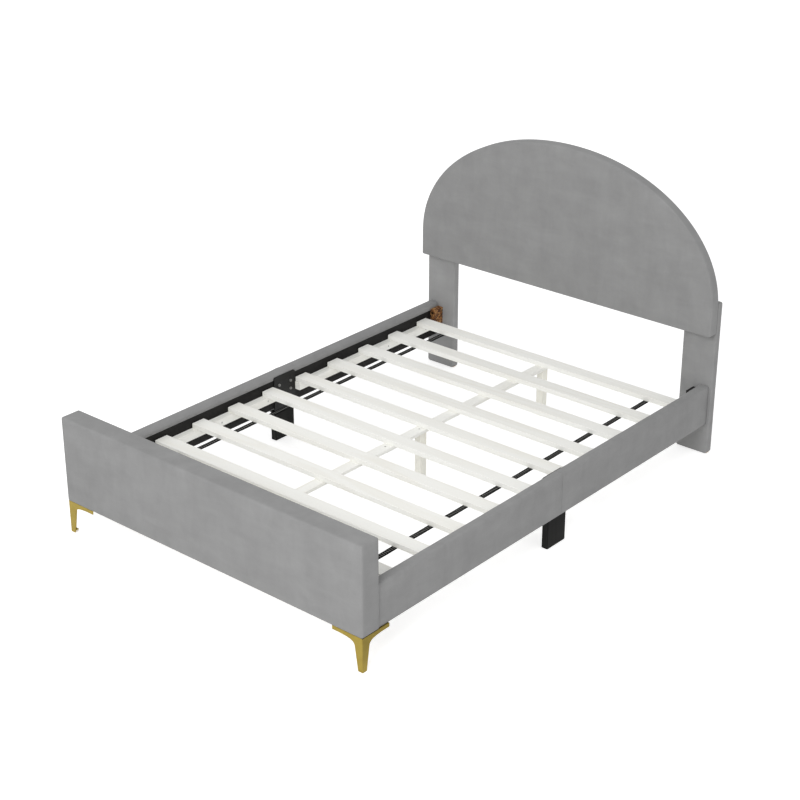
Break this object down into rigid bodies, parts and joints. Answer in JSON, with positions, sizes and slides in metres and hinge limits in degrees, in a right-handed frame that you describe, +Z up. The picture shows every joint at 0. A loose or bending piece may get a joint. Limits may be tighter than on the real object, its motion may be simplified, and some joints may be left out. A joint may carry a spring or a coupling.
{
  "type": "upholstered platform bed",
  "caption": "Low platform bed with an arched padded headboard, padded footboard and side rails, brass corner legs and pale wooden slats on ledgers.",
  "frame": {"origin": "on the floor, under the middle of the whole bed", "axes": "+X across the bed to the right seen from the foot, +Y from the foot end to the headboard, +Z up"},
  "size_m": [1.44, 2.076, 1.1289],
  "materials": {
    "velvet": "short-pile velvet, matte with a soft sheen at its edges",
    "back_cloth": "thin black cloth",
    "frame_board": "raw board",
    "dark_board": "board faced in matte black",
    "pale_wood": "planed pale softwood",
    "block_wood": "planed brown wood",
    "brass": "brushed, satin",
    "glide_plastic": "pale, slightly waxy",
    "black_steel": "black powder coat",
    "black_wood": "painted satin black",
    "webbing": "woven black tape",
    "steel": "zinc plated"
  },
  "bodies": {
    "root": {"headboard_pad": "velvet", "footboard_pad": "velvet", "rail_cover_foot_left": "velvet", "rail_cover_foot_right": "velvet", "rail_cover_head_left": "velvet", "rail_cover_head_right": "velvet", "head_leg_cover_left": "velvet", "head_leg_cover_right": "velvet", "headboard_back_cloth": "back_cloth", "headboard_board": "frame_board", "footboard_board": "frame_board", "head_leg_board_left": "frame_board", "head_leg_board_right": "frame_board", "rail_board_foot_left": "dark_board", "rail_board_foot_right": "dark_board", "rail_board_head_left": "dark_board", "rail_board_head_right": "dark_board", "slat_1": "pale_wood", "slat_2": "pale_wood", "slat_3": "pale_wood", "slat_4": "pale_wood", "slat_5": "pale_wood", "slat_6": "pale_wood", "slat_7": "pale_wood", "slat_8": "pale_wood", "slat_9": "pale_wood", "slat_10": "pale_wood", "ledger_foot_left": "pale_wood", "ledger_foot_right": "pale_wood", "ledger_head_left": "pale_wood", "ledger_head_right": "pale_wood", "beam_foot": "pale_wood", "beam_head": "pale_wood", "beam_leg_foot": "pale_wood", "beam_leg_middle": "pale_wood", "beam_leg_head": "pale_wood", "head_block_left": "block_wood", "head_block_right": "block_wood", "foot_block_left": "block_wood", "foot_block_right": "block_wood", "foot_leg_left": "brass", "foot_leg_right": "brass", "foot_glide_left": "glide_plastic", "foot_glide_right": "glide_plastic", "mid_bracket_left": "black_steel", "mid_bracket_right": "black_steel", "beam_splice": "black_steel", "mid_leg_left": "black_wood", "mid_leg_right": "black_wood", "webbing_left": "webbing", "webbing_right": "webbing", "headboard_bolts": "steel", "foot_leg_screws": "steel", "ledger_screws": "steel", "bracket_bolts": "steel", "corner_fasteners": "steel", "beam_leg_screws": "steel", "beam_splice_bolts": "steel", "webbing_tacks": "steel"}
  },
  "joints": []
}
